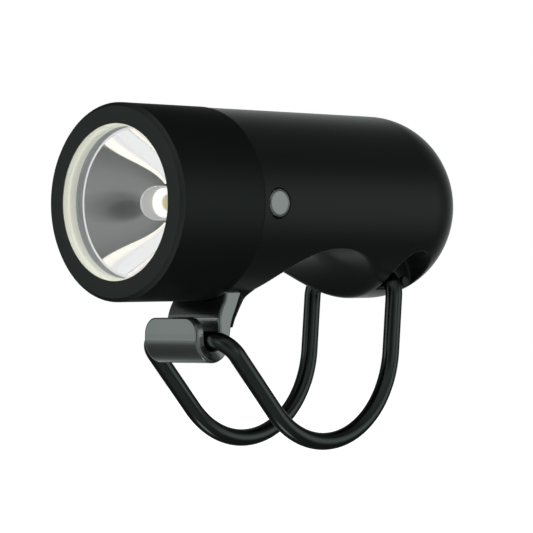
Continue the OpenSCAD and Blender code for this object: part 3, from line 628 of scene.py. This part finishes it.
def material(name, colour, roughness=0.5, metallic=0.0, grain_mm=0.25, bump=0.05, tint=0.08,
             spread=0.05, **sockets):
    """A surface with fine grain in its colour, its gloss and its relief. Other arguments name
    sockets of the shader, with _ for a space."""
    made = bpy.data.materials.new(name)
    made.use_nodes = True
    nodes, links = made.node_tree.nodes, made.node_tree.links
    shader = nodes["Principled BSDF"]
    place = nodes.new("ShaderNodeTexCoord")

    def noise(scale, detail):
        texture = nodes.new("ShaderNodeTexNoise")
        texture.inputs["Scale"].default_value = scale
        texture.inputs["Detail"].default_value = detail
        links.new(place.outputs["Object"], texture.inputs["Vector"])
        return texture.outputs["Fac"]

    fine = noise(1 / (grain_mm * MM), FINE_DETAIL)
    if tint:
        mix = nodes.new("ShaderNodeMix")
        mix.data_type = "RGBA"
        mix.inputs["A"].default_value = (*[c * (1 - tint) for c in colour], 1)
        mix.inputs["B"].default_value = (*[min(1, c * (1 + tint)) for c in colour], 1)
        links.new(noise(BROAD_SCALE, BROAD_DETAIL), mix.inputs["Factor"])
        links.new(mix.outputs["Result"], shader.inputs["Base Color"])
    else:
        shader.inputs["Base Color"].default_value = (*colour, 1)
    gloss = nodes.new("ShaderNodeMapRange")
    gloss.inputs["To Min"].default_value = max(roughness - spread, LEAST_ROUGHNESS)
    gloss.inputs["To Max"].default_value = min(roughness + spread, 1)
    links.new(fine, gloss.inputs["Value"])
    links.new(gloss.outputs["Result"], shader.inputs["Roughness"])
    if bump:
        relief = nodes.new("ShaderNodeBump")
        relief.inputs["Strength"].default_value = bump
        relief.inputs["Distance"].default_value = RELIEF * MM
        links.new(fine, relief.inputs["Height"])
        links.new(relief.outputs["Normal"], shader.inputs["Normal"])
    shader.inputs["Metallic"].default_value = metallic
    for socket, value in sockets.items():
        shader.inputs[socket.replace("_", " ")].default_value = value
    return made


def band_ramp(made, stops, axis):
    """A colour in bands along an axis. Each stop is a place in millimetres, behind the front
    face along Y or from the plane of symmetry along X, and a colour."""
    nodes, links = made.node_tree.nodes, made.node_tree.links
    first, last = stops[0][0], stops[-1][0]
    start = BAR_BACK if axis == "Y" else 0
    place = nodes.new("ShaderNodeSeparateXYZ")
    links.new(nodes.new("ShaderNodeTexCoord").outputs["Object"], place.inputs["Vector"])
    share = nodes.new("ShaderNodeMapRange")
    share.inputs["From Min"].default_value = (first - start) * MM
    share.inputs["From Max"].default_value = (last - start) * MM
    links.new(place.outputs[axis], share.inputs["Value"])
    ramp = nodes.new("ShaderNodeValToRGB")
    marks = ramp.color_ramp.elements
    for _ in stops[1:-1]:
        marks.new(0.5)
    for i, (place_mm, colour) in enumerate(stops):
        marks[i].position = (place_mm - first) / (last - first)
        marks[i].color = (*colour, 1)
    links.new(share.outputs["Result"], ramp.inputs["Fac"])
    return ramp.outputs["Color"]


def band(made, axis="Y", **bands):
    """Gives sockets of a surface their values in bands along an axis."""
    shader = made.node_tree.nodes["Principled BSDF"]
    for socket, stops in bands.items():
        made.node_tree.links.new(band_ramp(made, stops, axis),
                                 shader.inputs[socket.replace("_", " ")])


def paint_glow_in_mirrors(made, level):
    """Paints a glow onto a surface where a mirror shows it, and only there: painted light from a
    part that is no lamp.
    """
    nodes, links = made.node_tree.nodes, made.node_tree.links
    mirrored = nodes.new("ShaderNodeLightPath").outputs["Is Glossy Ray"]
    links.new(math_node(nodes, links, "MULTIPLY", level, mirrored),
              nodes["Principled BSDF"].inputs["Emission Strength"])


DARK_EDGE = (*grey(0.4), 1)
# The head's colour is lighter on the front face and lighter still on the chamfer: a painted
# highlight
HEAD_SIDE, HEAD_FACE_HIGHLIGHT = (0.056, 0.062, 0.058), (0.1, 0.108, 0.103)
HEAD_CHAMFER_HIGHLIGHT = (0.12, 0.13, 0.124)
FACE_END, CHAMFER_END, SIDE_START = 0.05, 0.62, 0.68
# The glows of the ivory ring and of the reflector's rim are painted light, seen only in mirrors
IVORY, IVORY_PAINTED_GLOW = (0.95, 0.96, 0.84), 0.4
BOWL_COLOUR, BOWL_ROUGHNESS = (0.97, 0.94, 0.95), 0.06
RIM_COLOUR, RIM_ROUGHNESS, RIM_PAINTED_GLOW, RIM_FADE = (0.36, 0.385, 0.39), 0.4, 0.6, 0.04
# The look of every material slot
LOOKS = {
    "head_black": dict(colour=HEAD_SIDE, roughness=0.48, metallic=0.98, grain_mm=0.2,
                       bump=0.08, Specular_Tint=DARK_EDGE),
    "casing_black": dict(colour=(0.0044, 0.0054, 0.0049), roughness=0.3, bump=0.03,
                         Specular_IOR_Level=0.4),
    "clear_window": dict(colour=(0.9, 0.93, 0.93), roughness=0.03, metallic=1, bump=0,
                         Alpha=0.025),
    # The ivory ring's emission colour is the colour of its painted glow in mirrors
    "ivory_ring": dict(colour=IVORY, roughness=0.35, bump=0, tint=0,
                       Emission_Color=(1, 1, 0.92, 1)),
    "seal_rubber": dict(colour=grey(0.03), roughness=0.6),
    "reflector_mirror": dict(colour=BOWL_COLOUR, roughness=BOWL_ROUGHNESS, metallic=1, bump=0),
    "led_board_white": dict(colour=(0.75, 0.75, 0.72)),
    "led_base": dict(colour=(0.9, 0.9, 0.86), roughness=0.4),
    "phosphor": dict(colour=(0.85, 0.78, 0.22), roughness=0.6),
    # The dome's emission colour is the colour of its painted glow
    "led_dome_clear": dict(colour=(0.97, 0.98, 0.98), roughness=0.1, bump=0, IOR=1.41,
                           Transmission_Weight=0.3, Emission_Color=(1, 1, 0.98, 1)),
    "screw_steel": dict(colour=(0.5, 0.5, 0.51), roughness=0.3, metallic=1),
    "pin_black": dict(colour=(0.05, 0.052, 0.052), roughness=0.3, metallic=1),
    "sink_aluminium": dict(colour=(0.6, 0.61, 0.62), roughness=0.35, metallic=1),
    "wire_red": dict(colour=(0.5, 0.03, 0.02), roughness=0.45),
    "hook_metal": dict(colour=(0.47, 0.49, 0.485), roughness=0.23, metallic=1, grain_mm=0.3,
                       bump=0.01, spread=0.01),
    "strap_rubber": dict(colour=(0.115, 0.13, 0.123), roughness=0.2, metallic=1, grain_mm=3,
                         bump=0, spread=0.01, Specular_Tint=DARK_EDGE),
    "cell_wrap": dict(colour=(0.03, 0.12, 0.42), roughness=0.3),
    "nickel": dict(colour=(0.6, 0.58, 0.53), roughness=0.35, metallic=1),
    "foam": dict(colour=grey(0.05), roughness=0.9, grain_mm=0.5, bump=0.5),
    "chassis_grey": dict(colour=(0.08, 0.085, 0.09)),
    "board_green": dict(colour=(0.01, 0.12, 0.04), roughness=0.35),
    "chip_black": dict(colour=(0.015, 0.015, 0.017)),
    "cover_rubber": dict(colour=(0.009, 0.0105, 0.01), roughness=0.6),
    "button_silver": dict(colour=(0.52, 0.54, 0.535), roughness=0.2, metallic=1, bump=0.01),
    "stem_ivory": dict(colour=(0.65, 0.6, 0.48)),
}
# Painted light and shade across the LED's dome: lit and shaded grey bands, a white painted
# highlight with a glow, and a glowing yellow band at one edge. The place of each band's edge, its
# colour and its glow
DOME_PAINTED_LIGHT = [(-DOME_R, grey(0.85), 0.2), (-2.25, grey(0.5), 0.08), (-1.2, grey(0.42), None),
              (-0.9, grey(0.62), None), (-0.7, grey(0.46), 0.05), (1.3, grey(0.56), 0.1),
              (1.6, grey(1), 0.6), (2.4, grey(1), 0.6), (2.55, (0.98, 0.86, 0.34), 0.15),
              (DOME_R, (0.95, 0.8, 0.25), 0.1)]


def rim_and_bowl(rim, bowl):
    """Stops with one colour on the reflector's rim and another in its bowl."""
    return [(RING_DEPTH, rim), (BOWL_Y - RIM_FADE, rim), (BOWL_Y, bowl), (LED_Y, bowl)]


def all_materials():
    """The finish of every material slot, by name."""
    made = {name: material(name, **look) for name, look in LOOKS.items()}
    # Painted highlight: the head's base colour lighter on its front face and chamfer
    band(made["head_black"], Base_Color=[
        (0, HEAD_FACE_HIGHLIGHT), (FACE_END, HEAD_FACE_HIGHLIGHT), (CHAMFER_END, HEAD_CHAMFER_HIGHLIGHT),
        (SIDE_START, HEAD_SIDE), (HEAD_L, HEAD_SIDE)])
    # Painted glow on the ivory ring, seen only in mirrors
    paint_glow_in_mirrors(made["ivory_ring"], IVORY_PAINTED_GLOW)
    mirror = made["reflector_mirror"]
    band(mirror, Base_Color=rim_and_bowl(RIM_COLOUR, BOWL_COLOUR),
         Metallic=rim_and_bowl(grey(0), grey(1)),
         Roughness=rim_and_bowl(grey(RIM_ROUGHNESS), grey(BOWL_ROUGHNESS)))
    # Painted glow on the reflector's rim, seen only in reflections
    paint_glow_in_mirrors(mirror, band_ramp(mirror, rim_and_bowl(grey(RIM_PAINTED_GLOW), grey(0)), "Y"))
    # Painted highlights, shade and glow across the LED's dome
    band(made["led_dome_clear"], "X",
         Base_Color=[(x, colour) for x, colour, _ in DOME_PAINTED_LIGHT],
         Emission_Strength=[(x, grey(glow)) for x, _, glow in DOME_PAINTED_LIGHT if glow is not None])
    return made


# Stage, lights and camera

HALF_TURN = 180
FLOOR_SIZE, FLOOR_Z, FLOOR_WHITE, FLOOR_LIFT = 6, -0.16, 0.85, 0.45
LAMP_SIZE, LAMP_POWER, LAMP_Z = 0.6, 1.6, 0.6


def stage():
    """A wide floor, far enough below that the light hangs free. The eye sees it as white,
    and it is kept out of reflections."""
    bpy.ops.mesh.primitive_plane_add(size=FLOOR_SIZE, location=(0, 0, FLOOR_Z))
    floor = bpy.context.object
    floor.name = "floor"
    made = bpy.data.materials.new("floor_white")
    made.use_nodes = True
    nodes, links = made.node_tree.nodes, made.node_tree.links
    shader = nodes["Principled BSDF"]
    shader.inputs["Base Color"].default_value = (*grey(FLOOR_WHITE), 1)
    shader.inputs["Roughness"].default_value = 1
    shader.inputs["Specular IOR Level"].default_value = 0
    shader.inputs["Emission Color"].default_value = (1, 1, 1, 1)
    seen = nodes.new("ShaderNodeLightPath").outputs["Is Camera Ray"]
    links.new(math_node(nodes, links, "MULTIPLY", seen, FLOOR_LIFT),
              shader.inputs["Emission Strength"])
    floor.data.materials.append(made)
    floor.visible_glossy = False


def heading(azimuth, elevation):
    """Unit vector from degrees: 0 is before the light, 90 on the button's side."""
    a, e = math.radians(azimuth), math.radians(elevation)
    return math.sin(a) * math.cos(e), -math.cos(a) * math.cos(e), math.sin(e)


def lobe(nodes, links, direction, axis, stops):
    """Level at each direction by its angle in degrees from an axis."""
    toward = nodes.new("ShaderNodeVectorMath")
    toward.operation = "DOT_PRODUCT"
    toward.inputs[1].default_value = axis
    links.new(direction, toward.inputs[0])
    angle = math_node(nodes, links, "ARCCOSINE", toward.outputs["Value"], 0)
    ramp = nodes.new("ShaderNodeValToRGB")
    links.new(math_node(nodes, links, "DIVIDE", angle, math.pi), ramp.inputs["Fac"])
    marks = ramp.color_ramp.elements
    marks[0].position, marks[1].position = stops[0][0] / HALF_TURN, stops[-1][0] / HALF_TURN
    for degrees, _ in stops[1:-1]:
        marks.new(degrees / HALF_TURN)
    for mark, (_, level) in zip(marks, stops):
        mark.color = (*grey(level), 1)
    return ramp.outputs["Color"]


# What shiny surfaces see: a dim room, soft fills that add to it, whites that show where they
# are brighter, and a patch that dims both. After a second mirror, they see a white side.
ROOM_LEVEL, PLAIN_LEVEL, SECOND_MIRROR = 0.06, 0.95, 1.5
STUDIO_CAST = (0.92, 1, 0.97, 1)
FILLS = [(heading(38, 5), [(0, 0.03), (12, 0.05), (20, 0.085), (30, 0.15), (50, 0.13), (80, 0.04),
                           (95, 0)]),
         (heading(-45, 3), [(0, 0.22), (5, 0.24), (9, 0.62), (13, 0.2), (19, 0)])]
WHITES = [(heading(88, 0), [(0, 0.55), (6, 0.45), (20, 0)]),
          (heading(0, 0), [(0, 0.55), (6, 0.45), (18, 0)]),
          (heading(135, 0), [(0, 0.5), (12, 0.45), (34, 0)]),
          (heading(225, 0), [(0, 1), (9, 0.8), (18, 0.58), (27, 0.42), (34, 0.31), (39, 0.2),
                             (52, 0.09), (65, 0.055), (80, 0)]),
          (heading(0, 90), [(0, 1), (8, 1), (14, 0)]),
          (heading(0, -90), [(0, 1), (8, 1), (14, 0)])]
DARK_PATCH = heading(35, 12), [(0, 0.6), (13, 0.65), (20, 1)]
SECOND_VIEW = heading(21, 0), [(0, 1), (58, 1), (70, 0)]


def world():
    """Plain white for the eye and for clear pieces, nearly white for matt surfaces, and a dim
    studio for shiny ones: a dark room before the light, white above, below and behind it."""
    made = bpy.data.worlds.new("studio")
    bpy.context.scene.world = made
    made.use_nodes = True
    nodes, links = made.node_tree.nodes, made.node_tree.links
    direction = nodes.new("ShaderNodeTexCoord").outputs["Generated"]
    path = nodes.new("ShaderNodeLightPath").outputs

    def join(operation, first, second):
        return math_node(nodes, links, operation, first, second)

    def mix(data_type, first, second):
        """The second value for rays off a shiny surface, and the first for all others."""
        node = nodes.new("ShaderNodeMix")
        node.data_type = data_type
        links.new(path["Is Glossy Ray"], node.inputs["Factor"])
        feed(links, node.inputs["A"], first)
        feed(links, node.inputs["B"], second)
        return node.outputs["Result"]

    room = ROOM_LEVEL
    for axis, stops in FILLS:
        room = join("ADD", lobe(nodes, links, direction, axis, stops), room)
    for axis, stops in WHITES:
        room = join("MAXIMUM", room, lobe(nodes, links, direction, axis, stops))
    room = join("MULTIPLY", room, lobe(nodes, links, direction, *DARK_PATCH))
    again = join("MULTIPLY", join("GREATER_THAN", path["Glossy Depth"], SECOND_MIRROR),
                 lobe(nodes, links, direction, *SECOND_VIEW))
    seen = join("MAXIMUM", path["Is Camera Ray"], path["Is Transmission Ray"])
    back = nodes["Background"]
    links.new(mix("RGBA", (1, 1, 1, 1), STUDIO_CAST), back.inputs["Color"])
    links.new(mix("FLOAT", join("MAXIMUM", seen, PLAIN_LEVEL), join("MAXIMUM", room, again)),
              back.inputs["Strength"])
    made.cycles.sampling_method = "NONE"


def top_lamp():
    """A wide soft lamp above, kept out of reflections, that gives the floor a shadow."""
    data = bpy.data.lights.new("top_lamp", "AREA")
    data.size, data.energy = LAMP_SIZE, LAMP_POWER
    piece = bpy.data.objects.new("top_lamp", data)
    piece.location = (0, 0, LAMP_Z)
    piece.visible_glossy = False
    bpy.context.scene.collection.objects.link(piece)


CAMERA_AZIMUTH, CAMERA_ELEVATION, CAMERA_ROLL = 44.8606, -0.4426, -0.6016
CAMERA_PLACE = np.array([313.08, -280.18, -13.77])
FOCAL_PX, PICTURE_PX, SENSOR, CLIP_START = 2628.9, 533, 36, 0.01


def camera():
    """The photograph's camera, fitted to the light's round outlines."""
    azimuth, roll = math.radians(CAMERA_AZIMUTH), math.radians(CAMERA_ROLL)
    place = (CAMERA_PLACE + OFFSET) * MM
    back = np.array(heading(CAMERA_AZIMUTH, CAMERA_ELEVATION))
    level = np.array([math.cos(azimuth), math.sin(azimuth), 0])
    upright = np.cross(back, level)
    right = math.cos(roll) * level + math.sin(roll) * upright
    up = -math.sin(roll) * level + math.cos(roll) * upright
    data = bpy.data.cameras.new("camera")
    data.sensor_width = SENSOR
    data.lens = FOCAL_PX / PICTURE_PX * SENSOR
    data.clip_start = CLIP_START
    piece = bpy.data.objects.new("camera", data)
    bpy.context.scene.collection.objects.link(piece)
    turn = Matrix(np.stack([right, up, back], 1).tolist()).to_4x4()
    piece.matrix_world = Matrix.Translation(place.tolist()) @ turn
    bpy.context.scene.camera = piece


# The scene

finishes = all_materials()
slots = {entry["node"]: entry["material_slot"] for entry in frame["record"]["subparts"]}
body_of_node = {node: body for body, nodes in frame["record"]["behaviour"]["bodies"].items()
                for node in nodes}
for node, piece in frame["nodes"].items():
    for slot in piece.material_slots:
        slot.link = "OBJECT"
        slot.material = finishes[slots[node]]

made_pieces = {
    "head_shell": head_shell(), "front_lens": front_lens(), "light_ring": light_ring(),
    "reflector": reflector(), "led_dome": led_dome(), "button_cap": button_cap(),
    "strap": strap(), "rear_casing": rear_casing(), "hook": hook(),
}
for node, piece in made_pieces.items():
    piece.data.materials.append(finishes[slots[node]])
    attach(piece, body_of_node[node])

stage()
world()
top_lamp()
camera()
bpy.context.scene.view_settings.view_transform = "Standard"
